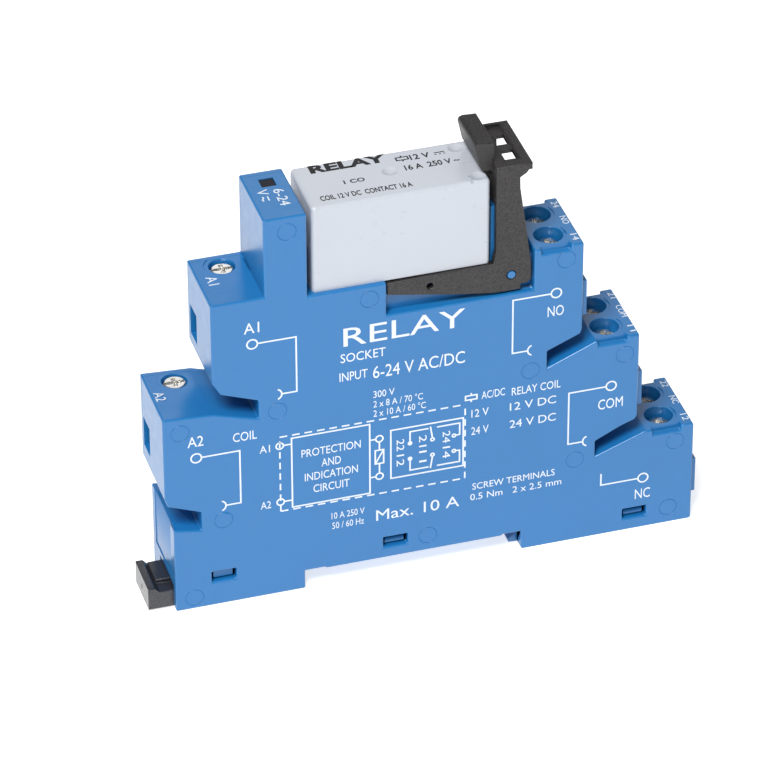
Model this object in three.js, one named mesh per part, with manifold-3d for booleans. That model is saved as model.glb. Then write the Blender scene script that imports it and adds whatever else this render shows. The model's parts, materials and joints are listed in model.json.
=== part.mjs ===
// A plug-in relay in its narrow screw-terminal socket for a 35 mm mounting rail.
// Millimetres, +Z from the rail to the relay, X along the socket (coil terminals at -X,
// contact terminals at +X), Y across its 14 mm width. The origin is the middle of the base.
import * as THREE from "three";
import { mergeVertices } from "three/addons/utils/BufferGeometryUtils.js";
import Module from "manifold-3d";

const wasm = await Module();
wasm.setup();

// ---- Driving dimensions -------------------------------------------------------------
const HALF_WIDTH = 7; // the socket is one 14 mm module wide
const SHELL_BACK = 5.9; // where the main shell ends and the rear cover begins
const COVER_FRONT = 5.95;
const WALL = 1.2;
const FIT = 0.1; // clearance round a piece that sits in a pocket

// Side outline of the socket: X of its walls and Z of its floors and tops.
const BASE_LEFT = -42.1;
const BASE_LEFT_TOP = 16;
const LOW_SLOT = { x: -37.5, floor: 15.15, roof: 18.65 };
const A2 = { x: -43.4, top: 37.55, bottom: 22.3 };
const HIGH_SLOT = { x: -27.75, floor: 34.8, roof: 38.2 };
const A1 = { x: -35.2, top: 57.4, bottom: 42.8 };
const TOWER = { left: -26.5, right: -19.5, top: 71.5 };
const SEAT = 56.25; // the relay stands on this level
const LEVER_BAY = { left: -6.7, right: 17.6, floor: 50.2, depth: 1.7 };
const NO = { x: 25.8, top: 57.55 };
const COM = { x: 35.55, top: 38.25 };
const NC = { x: 45.3, top: 18.95 };
const COM_SLOT = { x: 20, floor: 34.75, roof: 38, mouth: 28.1 };
const NC_SLOT = { x: 28.45, floor: 15.75, roof: 18.75, mouth: 36.8 };
const NOTCH = { left: -20.5, right: 16, top: 3.45 };
const RAIL_PAD = { left: -17, right: 12.8, z: 3.2 };
const HOOK = { tip: 14.5, reach: 5 };
const END_WALL = { left: 10.9, right: 12.1, half: 5.1, top: 66 };

// Terminals: where the screw stands from its block's end face, and how deep its head is.
const COIL_SCREW = { inset: 4.8, y: 3.6, head: 0.5, well: 2.1, shelf: 2.4, hold: 2.3 };
const CONTACT_SCREW = { inset: 4.7, y: 3.1, head: 1.6, well: 2.35, shelf: 3.5, hold: 2.7 };
const SHELF = 0.9;
const SHELF_HOLE = 1.7;
const HEAD = { radius: 1.9, height: 1.7 };
const SHANK = 1.2;
const CAGE = { length: 4.2, width: 4.4, height: 7.4, nut: 1.8, wall: 0.7, floor: 1.2 };
const CAGE_DROP = 2.7; // the open cage hangs this far under its shelf
const ENTRY = { half: 1.9, height: 5.4 };
const COLLAR = { out: 1, half: 5.8, height: 6.4 };
const STRIP = 0.6;

// Relay: a 29 by 12.4 by 15.5 mm case and its pins, under the coil and the contacts.
const RELAY = { left: -18.5, right: 10.5, half: 6.2, top: 71.75, wall: 0.8, corner: 0.8 };
const PIN = { x: 0.5, y: 1, row: 3.75, tip: 52.65 };
const COIL_PIN_X = -16.5;
const NC_PIN_X = -1.5;
const COM_PIN_X = 3.5;
const NO_PIN_X = 8.5;
const BASE_TOP = 57.5;
const COIL_Z = 64.6;
const BLADE_ROOT = 59.5;
const ARMATURE_PIVOT = { x: -15, z: 59.9 };
const ARMATURE_OPEN = THREE.MathUtils.degToRad(-7.5);

// Retaining and ejecting lever.
const PIVOT = { x: 13.9, z: 53.6, pin: 0.65, hole: 0.8 };
const ARM = { inner: 5.5, outer: 6.7 };
const PLATE = { left: 11.3, right: 17.2, bottom: 72.6, top: 73.75 };

const COLOURS = {
  blue: [0x4f86c6, 0.5, 0],
  lever: [0x4a4645, 0.6, 0],
  latch: [0x3c3d44, 0.55, 0],
  window: [0x1d2b3c, 0.25, 0],
  board: [0x2d6b3c, 0.6, 0],
  lamp: [0x8fd08a, 0.3, 0],
  diode: [0x242424, 0.4, 0],
  resistor: [0xc9ab7a, 0.5, 0],
  capacitor: [0xb9892f, 0.4, 0],
  screw: [0xbfc0c0, 0.3, 1],
  cage: [0xb8b29a, 0.35, 1],
  brass: [0xc9a557, 0.35, 1],
  relay: [0xd9dce4, 0.4, 0],
  relayBase: [0x2b2c30, 0.6, 0],
  bobbin: [0xe6e2d4, 0.5, 0],
  copper: [0xb4632f, 0.35, 1],
  iron: [0x9a9b9d, 0.4, 1],
  card: [0xf0efe8, 0.5, 0],
  tin: [0xcfcfca, 0.3, 1],
};

// ---- Solids -------------------------------------------------------------------------
function solid(geometry) {
  const bare = geometry.index ? geometry.toNonIndexed() : geometry.clone();
  bare.deleteAttribute("normal");
  bare.deleteAttribute("uv");
  const merged = mergeVertices(bare, 1e-4);
  return new wasm.Manifold(
    new wasm.Mesh({
      numProp: 3,
      vertProperties: merged.attributes.position.array,
      triVerts: new Uint32Array(merged.index.array),
    }),
  );
}

function geometryOf(made) {
  const mesh = made.getMesh();
  const geometry = new THREE.BufferGeometry();
  geometry.setAttribute("position", new THREE.BufferAttribute(mesh.vertProperties, 3));
  geometry.setIndex(new THREE.BufferAttribute(mesh.triVerts, 1));
  geometry.computeVertexNormals();
  return geometry;
}

// A box between two corners.
function box(x0, x1, y0, y1, z0, z1) {
  const geometry = new THREE.BoxGeometry(x1 - x0, y1 - y0, z1 - z0);
  return solid(geometry.translate((x0 + x1) / 2, (y0 + y1) / 2, (z0 + z1) / 2));
}

// A box that is centred on Y = y.
function bar(x0, x1, y, half, z0, z1) {
  return box(x0, x1, y - half, y + half, z0, z1);
}

// An outline of [x, z] points, extruded along Y.
function slab(points, y0, y1) {
  const shape = new THREE.Shape(points.map(([x, z]) => new THREE.Vector2(x, z)));
  const geometry = new THREE.ExtrudeGeometry(shape, { depth: y1 - y0, bevelEnabled: false });
  return solid(geometry.rotateX(Math.PI / 2).translate(0, y1, 0));
}

function uprightRod(x, y, z0, z1, radius, sides = 20) {
  const geometry = new THREE.CylinderGeometry(radius, radius, z1 - z0, sides);
  return solid(geometry.rotateX(Math.PI / 2).translate(x, y, (z0 + z1) / 2));
}

function crossRod(x, z, y0, y1, radius, sides = 16) {
  const geometry = new THREE.CylinderGeometry(radius, radius, y1 - y0, sides);
  return solid(geometry.translate(x, (y0 + y1) / 2, z));
}

function lengthRod(y, z, x0, x1, radius, sides = 20) {
  const geometry = new THREE.CylinderGeometry(radius, radius, x1 - x0, sides);
  return solid(geometry.rotateZ(Math.PI / 2).translate((x0 + x1) / 2, y, z));
}

const join = (pieces) => pieces.reduce((all, piece) => all.add(piece));
const cut = (body, tools) => tools.reduce((left, tool) => left.subtract(tool), body);

// The outline moved inwards by a distance; its points run counter-clockwise.
function inset(points, distance) {
  const count = points.length;
  const edges = points.map(([x, z], i) => {
    const [nextX, nextZ] = points[(i + 1) % count];
    const length = Math.hypot(nextX - x, nextZ - z);
    const normal = [-(nextZ - z) / length, (nextX - x) / length];
    return { normal, offset: normal[0] * x + normal[1] * z + distance };
  });
  return edges.map((edge, i) => {
    const before = edges[(i + count - 1) % count];
    const [a, b] = before.normal;
    const [c, d] = edge.normal;
    const across = a * d - b * c;
    const x = (before.offset * d - edge.offset * b) / across;
    const z = (a * edge.offset - c * before.offset) / across;
    return [x, z];
  });
}

const assembly = new THREE.Group();

function addPiece(name, made, finish, parent = assembly) {
  const [color, roughness, metalness] = COLOURS[finish];
  const material = new THREE.MeshStandardMaterial({ color, roughness, metalness });
  const mesh = new THREE.Mesh(geometryOf(made), material);
  mesh.name = name;
  parent.add(mesh);
  return mesh;
}

// ---- Socket housing -----------------------------------------------------------------
// The printed side's outline, counter-clockwise from the left foot.
const OUTLINE = [
  [BASE_LEFT, 0],
  [NOTCH.left, 0],
  [NOTCH.left, NOTCH.top],
  [NOTCH.right, NOTCH.top],
  [NOTCH.right, 0],
  [NC.x, 0],
  [NC.x, NC.top],
  [NC_SLOT.mouth, NC.top],
  [NC_SLOT.x, NC_SLOT.floor],
  [NC_SLOT.x, NC_SLOT.roof],
  [32.8, 20.9],
  [COM.x - 0.45, 21.7],
  [COM.x, 22.4],
  [COM.x, COM.top],
  [COM_SLOT.mouth, COM.top],
  [COM_SLOT.x, COM_SLOT.floor],
  [COM_SLOT.x, COM_SLOT.roof],
  [NO.x - 0.3, 40.3],
  [NO.x, 41.2],
  [NO.x, NO.top],
  [LEVER_BAY.right, NO.top],
  [LEVER_BAY.right, LEVER_BAY.floor],
  [LEVER_BAY.left, LEVER_BAY.floor],
  [LEVER_BAY.left, SEAT],
  [TOWER.right, SEAT],
  [TOWER.right, TOWER.top],
  [TOWER.left, TOWER.top],
  [TOWER.left, A1.top],
  [A1.x, A1.top],
  [A1.x, A1.bottom],
  [A1.x + 1.3, 40.5],
  [HIGH_SLOT.x, HIGH_SLOT.roof],
  [HIGH_SLOT.x, HIGH_SLOT.floor],
  [A1.x, A2.top - 0.5],
  [A2.x, A2.top],
  [A2.x, A2.bottom],
  [A2.x + 0.5, 20.75],
  [LOW_SLOT.x, LOW_SLOT.roof],
  [LOW_SLOT.x, LOW_SLOT.floor],
  [BASE_LEFT, BASE_LEFT_TOP],
];

const COIL_BLOCKS = [
  { name: "a1", block: A1, y: COIL_SCREW.y, screw: COIL_SCREW, side: 1 },
  { name: "a2", block: A2, y: COIL_SCREW.y, screw: COIL_SCREW, side: 1 },
];
const CONTACT_BLOCKS = [
  { name: "14", block: NO, y: -CONTACT_SCREW.y, screw: CONTACT_SCREW, side: -1 },
  { name: "24", block: NO, y: CONTACT_SCREW.y, screw: CONTACT_SCREW, side: -1 },
  { name: "11", block: COM, y: -CONTACT_SCREW.y, screw: CONTACT_SCREW, side: -1 },
  { name: "21", block: COM, y: CONTACT_SCREW.y, screw: CONTACT_SCREW, side: -1 },
  { name: "12", block: NC, y: -CONTACT_SCREW.y, screw: CONTACT_SCREW, side: -1 },
  { name: "22", block: NC, y: CONTACT_SCREW.y, screw: CONTACT_SCREW, side: -1 },
];
const TERMINALS = [...COIL_BLOCKS, ...CONTACT_BLOCKS].map((terminal) => {
  const { block, screw, side } = terminal;
  const shelfBottom = block.top - screw.shelf - SHELF;
  const cageTop = shelfBottom - CAGE_DROP;
  return { ...terminal, x: block.x + side * screw.inset, shelfBottom, cageTop };
});

const SNAP_WINDOWS = [
  { x: -34, z: 5.5 },
  { x: -5.3, z: 6.2 },
  { x: 35.5, z: 3.1 },
];
const SNAP = { halfLength: 2.05, halfHeight: 1, tongue: 1.6, tongueHeight: 0.7, tip: -6.05 };

const LATCH = { front: -5.6, back: 2.7, bottom: 0.25, barTop: 2, headTop: 4.3 };
const LATCH_TIP = -17.5;
const LATCH_END = -46.3;

const LED_WINDOW = { x: -22.8, y: 3.5, half: 1.2 };

// Two shallow notches in the top edges of a contact block, for clip-on markers.
function markerNotches(block, y0, y1) {
  return box(block.x - 7, block.x - 2.1, y0, y1, block.top - 1, block.top + 1);
}

// The block of plastic that holds the screw wells of one terminal block.
function wellBlock(terminal) {
  const { x, y, block, screw } = terminal;
  return bar(x - 3.3, x + 3.3, y, screw.hold, block.top - screw.shelf - SHELF, block.top - 0.5);
}

function wellTools(terminal) {
  const { x, y, block, screw } = terminal;
  return [
    uprightRod(x, y, block.top - screw.shelf, block.top + 1, screw.well),
    uprightRod(x, y, block.top - screw.shelf - 2, block.top, SHELF_HOLE, 16),
  ];
}

function wireEntry(terminal) {
  const { y, block, side, cageTop } = terminal;
  const middle = cageTop - CAGE.nut - 2.2;
  const outside = block.x - side * 2;
  const inside = block.x + side * 1.6;
  const low = Math.min(outside, inside);
  const high = Math.max(outside, inside);
  return bar(low, high, y, ENTRY.half, middle - ENTRY.height / 2, middle + ENTRY.height / 2);
}

function collar(block) {
  const middle = block.top - 11.2;
  const half = COLLAR.height / 2;
  return bar(block.x - 0.5, block.x + COLLAR.out, 0, COLLAR.half, middle - half, middle + half);
}

function pinSlot(x, y) {
  return bar(x - 0.8, x + 0.8, y, 0.9, SEAT - 3, SEAT + 1);
}

function latchChannel() {
  const y0 = LATCH.front - FIT;
  const y1 = LATCH.back + FIT;
  return [
    box(BASE_LEFT - 1, NOTCH.left + 1, y0, y1, -1, LATCH.barTop + 0.15),
    box(BASE_LEFT - 1, BASE_LEFT + 3, y0, y1, -1, LATCH.headTop + 0.15),
  ];
}

function socketBody() {
  const bayFront = -HALF_WIDTH + LEVER_BAY.depth;
  const bayBack = -bayFront;
  const middle = [
    [LEVER_BAY.left - 1, LEVER_BAY.floor - 1],
    [LEVER_BAY.right + 1, LEVER_BAY.floor - 1],
    [LEVER_BAY.right + 1, SEAT],
    [LEVER_BAY.left - 1, SEAT],
  ];
  const body = slab(OUTLINE, -HALF_WIDTH, SHELL_BACK).add(slab(middle, bayFront, bayBack));
  const hollow = slab(inset(OUTLINE, WALL), -HALF_WIDTH + WALL, SHELL_BACK + 1);
  const underSeat = bar(LEVER_BAY.left - 0.5, 16.4, 0, 4.5, LEVER_BAY.floor - 3, SEAT - WALL);
  const hook = [
    [NOTCH.right + 0.5, 0.2],
    [NOTCH.right + 0.5, 2.1],
    [NOTCH.right, 2],
    [HOOK.tip, 0.95],
    [HOOK.tip, 0.3],
  ];
  const added = [
    bar(END_WALL.left, END_WALL.right, 0, END_WALL.half, SEAT - 1, END_WALL.top),
    slab(hook, -HOOK.reach, HOOK.reach),
    box(RAIL_PAD.left, RAIL_PAD.right, -HALF_WIDTH, SHELL_BACK, RAIL_PAD.z, NOTCH.top + 0.5),
    box(BASE_LEFT, NOTCH.left, -HALF_WIDTH, SHELL_BACK, 0, 3.4),
    box(BASE_LEFT, BASE_LEFT + 4.2, -HALF_WIDTH, SHELL_BACK, 0, 5.6),
    ...TERMINALS.map(wellBlock),
    ...[NO, COM, NC].map(collar),
    ...[NO, COM, NC].map((b) => bar(b.x - 7.4, b.x - 0.5, 0, 0.5, b.top - 15, b.top - 0.5)),
    crossRod(PIVOT.x, PIVOT.z, -ARM.outer, ARM.outer, PIVOT.pin),
  ];
  const screwTools = TERMINALS.flatMap(wellTools);
  const windows = SNAP_WINDOWS.map(({ x, z }) => {
    const { halfLength, halfHeight } = SNAP;
    return box(x - halfLength, x + halfLength, -8, -5, z - halfHeight, z + halfHeight);
  });
  const slots = [COIL_PIN_X, NC_PIN_X, COM_PIN_X, NO_PIN_X].flatMap((x) => [
    pinSlot(x, -PIN.row),
    pinSlot(x, PIN.row),
  ]);
  const { x, y, half } = LED_WINDOW;
  const removed = [
    ...latchChannel(),
    ...screwTools,
    ...TERMINALS.map(wireEntry),
    ...windows,
    ...slots,
    ...[NO, COM, NC].map((block) => markerNotches(block, -8, -5.9)),
    bar(x - half, x + half, y, half, TOWER.top - 2, TOWER.top + 1),
    box(BASE_LEFT - 1, BASE_LEFT + 0.15, -4.7, 5.2, 5.4, BASE_LEFT_TOP + 1),
  ];
  return cut(join([cut(body, [hollow, underSeat]), ...added]), removed);
}

function rearCover() {
  const { tongue, tongueHeight, tip } = SNAP;
  const tongues = SNAP_WINDOWS.map(({ x, z }) =>
    box(x - tongue, x + tongue, tip, COVER_FRONT + 0.5, z - tongueHeight, z + tongueHeight),
  );
  const pad = box(RAIL_PAD.left, RAIL_PAD.right, COVER_FRONT, HALF_WIDTH, RAIL_PAD.z, 4);
  const plate = join([slab(OUTLINE, COVER_FRONT, HALF_WIDTH), pad, ...tongues]);
  return cut(plate, [NO, COM, NC].map((block) => markerNotches(block, 5.5, 8)));
}

addPiece("socket_body", socketBody(), "blue");
addPiece("rear_cover", rearCover(), "blue");

// ---- Rail latch ---------------------------------------------------------------------
function railLatch() {
  const { front, back, bottom, barTop, headTop } = LATCH;
  const profile = [
    [LATCH_END, bottom],
    [LATCH_TIP - 0.5, bottom],
    [LATCH_TIP, bottom + 0.6],
    [LATCH_TIP - 1.2, barTop],
    [BASE_LEFT + 2.6, barTop],
    [BASE_LEFT + 2.2, 3.5],
    [LATCH_END + 1.9, 3.5],
    [LATCH_END + 1.2, headTop],
    [LATCH_END, headTop],
  ];
  const grip = box(LATCH_END + 1.8, BASE_LEFT + 1.6, -3.2, 2, 3, 4.2);
  const eye = box(LATCH_END - 1, LATCH_END + 1, -1.65, -1.25, 1.7, 2.7);
  // A long slot leaves the moulded spring arm standing free in the middle of the bar.
  const springSlot = box(-38, -25, -3.6, -2.9, -1, 3);
  const secondSlot = box(-38, -25, 0.2, 0.9, -1, 3);
  const body = slab(profile, front, back).add(grip);
  // Only the rear half of the tip reaches under the rail's flange.
  const relief = box(NOTCH.left - 0.6, LATCH_TIP + 1, front - 1, -0.3, -1, 3);
  return cut(body, [eye, springSlot, secondSlot, relief]);
}

addPiece("rail_latch", railLatch(), "latch");

// ---- Retaining and ejecting lever ---------------------------------------------------
// One side arm: an upright behind the relay and a bar that runs under the relay's edge.
const ARM_OUTLINE = [
  [-6.5, 53.8],
  [7.5, 51.2],
  [11.4, 50.65],
  [15.4, 50.65],
  [15.5, 51.6],
  [16.6, 51.65],
  [17.2, 52.3],
  [17.15, 55.5],
  [15.25, 69.4],
  [15.2, 71.4],
  [16.3, 72.1],
  [16.9, 73],
  [PLATE.left, 73],
  [11.35, 58.4],
  [10.9, 56.15],
  [2, 56.1],
  [-6.5, 55.9],
];
const NOSE_OUTLINE = [
  [10.9, 72.3],
  [11.5, 72.3],
  [11.5, 77.3],
  [9.2, 77.4],
  [8.6, 77.2],
  [8.4, 76.7],
  [9.2, 73.1],
  [9.75, 72.35],
];
const LEVER_HOLE = { x: 0.5, z: 54.1, radius: 0.55 };

function leverArm(y0, y1) {
  const holes = [
    crossRod(PIVOT.x, PIVOT.z, y0 - 1, y1 + 1, PIVOT.hole),
    crossRod(LEVER_HOLE.x, LEVER_HOLE.z, y0 - 1, y1 + 1, LEVER_HOLE.radius, 12),
  ];
  return cut(slab(ARM_OUTLINE, y0, y1), holes);
}

function ejectorLever() {
  const plate = bar(PLATE.left, PLATE.right, 0, ARM.outer, PLATE.bottom, PLATE.top);
  const web = bar(PLATE.left, PLATE.left + 1.1, 0, ARM.outer, END_WALL.top + 0.6, PLATE.top);
  const nose = slab(NOSE_OUTLINE, -4.6, 4.6);
  const windows = [
    box(13.5, 15.6, -3.8, -1, 70, 75),
    box(13.5, 15.6, 0.6, 3.4, 70, 75),
    box(13.3, 15.8, -5, 6, PLATE.top - 0.5, 75),
  ];
  const arms = [leverArm(-ARM.outer, -ARM.inner), leverArm(ARM.inner, ARM.outer)];
  return cut(join([plate, web, nose]), windows).add(arms[0]).add(arms[1]);
}

addPiece("ejector_lever", ejectorLever(), "lever");

// ---- Screw terminals ----------------------------------------------------------------
// A clamp screw whose head's upper face is at its own origin.
function clampScrew(terminal) {
  const { block, screw, cageTop } = terminal;
  const tip = cageTop - CAGE.nut - (block.top - screw.head);
  const rod = uprightRod(0, 0, tip, -HEAD.height + 0.3, SHANK, 16);
  const head = uprightRod(0, 0, -HEAD.height, 0, HEAD.radius);
  const slot = box(-HEAD.radius - 1, HEAD.radius + 1, -0.3, 0.3, -0.7, 1);
  const cross = box(-1.1, 1.1, -0.35, 0.35, -1.1, 1);
  return cut(head.add(rod), [slot, cross, box(-0.35, 0.35, -1.1, 1.1, -1.1, 1)]);
}

// A clamp cage whose nut's upper face is at its own origin.
function clampCage() {
  const { length, width, height, nut, wall, floor } = CAGE;
  const body = box(-length / 2, length / 2, -width / 2, width / 2, -height, 0);
  const opening = box(-length, length, -width / 2 + wall, width / 2 - wall, -height + floor, -nut);
  return cut(body, [opening, uprightRod(0, 0, -nut - 1, 1, SHANK + 0.25, 16)]);
}

for (const terminal of TERMINALS) {
  const { name, x, y, block, screw, cageTop } = terminal;
  const clamp = addPiece("terminal_screw_" + name, clampScrew(terminal), "screw");
  clamp.position.set(x, y, block.top - screw.head);
  const cage = addPiece("clamp_cage_" + name, clampCage(), "cage");
  cage.position.set(x, y, cageTop);
}

// ---- Contact strips -----------------------------------------------------------------
// Level of the strip that runs through a terminal's open cage, just under its nut.
const stripLevel = ({ cageTop }) => cageTop - CAGE.nut - 0.2 - STRIP;

const FORK = { foot: SEAT - WALL - 7, top: SEAT - WALL - 0.3, half: 0.65 };

// Two upright leaves that hold a relay pin.
function forkLeaves(pinX, y, bottom) {
  const { foot, top: tip, half: reach } = FORK;
  const inner = PIN.x / 2 + 0.15;
  const outer = inner + STRIP;
  return [
    bar(pinX + inner, pinX + outer, y, reach, bottom, tip),
    bar(pinX - outer, pinX - inner, y, reach, foot, tip),
    bar(pinX - outer, pinX + outer, y, reach, foot, foot + STRIP),
  ];
}

function contactStrip(terminal, pinX) {
  const level = stripLevel(terminal);
  const pinY = Math.sign(terminal.y) * PIN.row;
  const run = bar(pinX + 0.4, terminal.x + 2.4, terminal.y, 1.35, level, level + STRIP);
  return join([run, ...forkLeaves(pinX, pinY, level)]);
}

function coilStrip(terminal, pinY) {
  const level = stripLevel(terminal);
  const run = bar(terminal.x - 2.4, COIL_PIN_X + 1, 3.5, 1.1, level, level + STRIP);
  const side = box(COIL_PIN_X + 0.4, COIL_PIN_X + 2, Math.min(pinY, 2.5) - 0.6, 4.3, level, level + STRIP);
  return join([run, side, ...forkLeaves(COIL_PIN_X, pinY, Math.min(level, FORK.foot))]);
}

const byName = Object.fromEntries(TERMINALS.map((terminal) => [terminal.name, terminal]));
const PIN_OF = { 14: NO_PIN_X, 24: NO_PIN_X, 11: COM_PIN_X, 21: COM_PIN_X, 12: NC_PIN_X, 22: NC_PIN_X };
for (const [name, pinX] of Object.entries(PIN_OF)) {
  addPiece("contact_strip_" + name, contactStrip(byName[name], pinX), "brass");
}
addPiece("contact_strip_a1", coilStrip(byName.a1, PIN.row), "brass");
addPiece("contact_strip_a2", coilStrip(byName.a2, -PIN.row), "brass");

// ---- Protection and indication circuit ----------------------------------------------
const BOARD = { front: 5, back: 5.8 };
const BOARD_OUTLINE = [
  [-25.1, 26],
  [-9, 26],
  [-9, 54.5],
  [-20.9, 54.5],
  [-20.9, 69.4],
  [-25.1, 69.4],
];
const PART_FRONT = 2.4;

addPiece("circuit_board", slab(BOARD_OUTLINE, BOARD.front, BOARD.back), "board");
const lamp = uprightRod(LED_WINDOW.x, LED_WINDOW.y, 66.2, 69.6, 1.3, 16);
addPiece("status_led", lamp.add(bar(-24, -21.6, 4.2, 0.7, 65.2, 66.4)), "lamp");
const lens = bar(-23.95, -21.65, LED_WINDOW.y, 1.15, 70.4, TOWER.top - 0.1);
addPiece("led_window", lens, "window");
addPiece("suppression_diode", lengthRod(3.7, 42, -22, -16.5, 1.2, 14), "diode");
addPiece("series_resistor", uprightRod(-23, 3.7, 56.5, 62.5, 1.15, 14), "resistor");
addPiece("smoothing_capacitor", box(-21, -13, PART_FRONT, 4.9, 32.5, 38.5), "capacitor");

// ---- Relay case ---------------------------------------------------------------------
const { left, right, half, top, wall, corner } = RELAY;

function relayCase() {
  const steps = [0, 30, 60, 90].map(THREE.MathUtils.degToRad);
  const rightArc = steps.map((a) => [
    right - corner + corner * Math.cos(a),
    top - corner + corner * Math.sin(a),
  ]);
  const leftArc = steps.map((a) => [
    left + corner - corner * Math.sin(a),
    top - corner + corner * Math.cos(a),
  ]);
  const outline = [[left, SEAT], [right, SEAT], ...rightArc, ...leftArc];
  const room = bar(left + wall, right - wall, 0, half - wall, SEAT - 1, top - wall);
  return slab(outline, -half, half).subtract(room);
}

function relayBase() {
  const plate = bar(left + 0.9, right - 0.9, 0, half - 0.9, SEAT + 0.1, BASE_TOP);
  const slots = [COIL_PIN_X, NC_PIN_X, COM_PIN_X, NO_PIN_X].flatMap((x) =>
    [-PIN.row, PIN.row].map((y) => bar(x - 0.35, x + 0.35, y, 0.6, SEAT - 1, BASE_TOP + 1)),
  );
  return cut(plate, slots);
}

addPiece("relay_cover", relayCase(), "relay");
addPiece("relay_base", relayBase(), "relayBase");

// ---- Coil and magnet ----------------------------------------------------------------
const YOKE = { left: -14.6, right: -2.6, bottom: 58.7, thick: 1.2, half: 3.6, top: 69 };

function relayPin(x, y, z1) {
  return bar(x - PIN.x / 2, x + PIN.x / 2, y, PIN.y / 2, PIN.tip, z1);
}

function magnetYoke() {
  const { left: x0, right: x1, bottom, thick, half: reach, top: z1 } = YOKE;
  const foot = bar(x0, x1, 0, reach, bottom, bottom + thick);
  return foot.add(bar(x1 - thick, x1, 0, reach, bottom, z1));
}

function coilCore() {
  const shoe = lengthRod(0, COIL_Z, -14.9, -14.25, 2.6);
  return shoe.add(lengthRod(0, COIL_Z, -14.5, YOKE.right - YOKE.thick - 0.05, 1.8));
}

function coilBobbin() {
  const flanges = [-14.2, -4.6].map((x) => bar(x, x + 0.7, 0, 4.5, 60.3, 68.9));
  const tube = lengthRod(0, COIL_Z, -14, -4, 2.5);
  return join([tube, ...flanges]).subtract(lengthRod(0, COIL_Z, -16, -2, 1.95));
}

function coilWinding() {
  return lengthRod(0, COIL_Z, -13.4, -4.7, 4.1, 28).subtract(lengthRod(0, COIL_Z, -15, -3, 2.6));
}

function armatureSpring() {
  const leaf = bar(-16.6, -9, 0, 1.2, 57.9, 58.2);
  return leaf.add(bar(-16.6, -16.35, 0, 1.2, 57.9, 61));
}

addPiece("magnet_yoke", magnetYoke(), "iron");
addPiece("coil_core", coilCore(), "iron");
addPiece("coil_bobbin", coilBobbin(), "bobbin");
addPiece("coil_winding", coilWinding(), "copper");
addPiece("armature_spring", armatureSpring(), "tin");
addPiece("coil_pin_a1", relayPin(COIL_PIN_X, PIN.row, 58), "tin");
addPiece("coil_pin_a2", relayPin(COIL_PIN_X, -PIN.row, 58), "tin");

// The armature stands on the yoke's end and leans open; its turn closes it on the core.
const armaturePivot = new THREE.Group();
armaturePivot.position.set(ARMATURE_PIVOT.x, 0, ARMATURE_PIVOT.z);
armaturePivot.rotation.y = ARMATURE_OPEN;
assembly.add(armaturePivot);
addPiece("armature", bar(-1, 0, 0, 3.2, -1.1, 10.3), "iron", armaturePivot);

// ---- Contacts -----------------------------------------------------------------------
const RIVET = { z: 66, radius: 1.1 };

function actuatorCard() {
  return bar(-16.1, 3.25, 0, 1.6, 69.3, 70.4);
}

function movingContact() {
  const blade = bar(3.35, 3.65, 0, 2.2, 58.9, 70.3);
  return blade.add(lengthRod(0, RIVET.z, 2.85, 4.15, RIVET.radius, 14));
}

// Two relay pins and the bar that joins them above the base.
function pinPair(x) {
  const pins = [-PIN.row, PIN.row].map((y) => relayPin(x, y, 58.4));
  return [...pins, bar(x - 0.25, x + 0.25, 0, PIN.row + PIN.y / 2, 57.6, 58.6)];
}

function ncTerminal() {
  const foot = bar(NC_PIN_X, 2, 0, 1.8, 57.9, 58.6);
  const post = bar(1.4, 2, 0, 1.8, 57.9, 67.6);
  const rivet = lengthRod(0, RIVET.z, 1.8, 2.8, RIVET.radius, 14);
  return join([...pinPair(NC_PIN_X), foot, post, rivet]);
}

function noTerminal() {
  const foot = bar(5.8, NO_PIN_X, 0, 1.8, 57.9, 58.6);
  const post = bar(5.8, 6.4, 0, 1.8, 57.9, 67.6);
  const rivet = lengthRod(0, RIVET.z, 5.15, 6, RIVET.radius, 14);
  return join([...pinPair(NO_PIN_X), foot, post, rivet]);
}

addPiece("actuator_card", actuatorCard(), "card");
addPiece("moving_contact", movingContact(), "brass");
addPiece("common_terminal", join(pinPair(COM_PIN_X)), "tin");
addPiece("nc_terminal", ncTerminal(), "tin");
addPiece("no_terminal", noTerminal(), "tin");

export default assembly;
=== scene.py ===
# A plug-in relay in its narrow rail socket: rounded shells, worked metal and printed marks.
# Blender works in metres. Sizes here are millimetres, and MM turns them into metres.
# +Z runs from the mounting rail to the relay, X along the socket, and -Y is the printed side.
import math
import bmesh
import bpy
from mathutils import Matrix, Vector
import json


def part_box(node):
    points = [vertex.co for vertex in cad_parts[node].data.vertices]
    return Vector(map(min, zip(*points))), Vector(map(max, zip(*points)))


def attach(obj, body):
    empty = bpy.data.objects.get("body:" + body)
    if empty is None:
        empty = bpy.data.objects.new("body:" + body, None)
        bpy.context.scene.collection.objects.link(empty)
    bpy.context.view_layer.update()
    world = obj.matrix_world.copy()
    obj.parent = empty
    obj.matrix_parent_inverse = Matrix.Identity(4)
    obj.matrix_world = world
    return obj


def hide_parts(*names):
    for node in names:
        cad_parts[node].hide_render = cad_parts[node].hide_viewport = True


MM = 0.001
QUARTER = math.pi / 2

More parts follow.
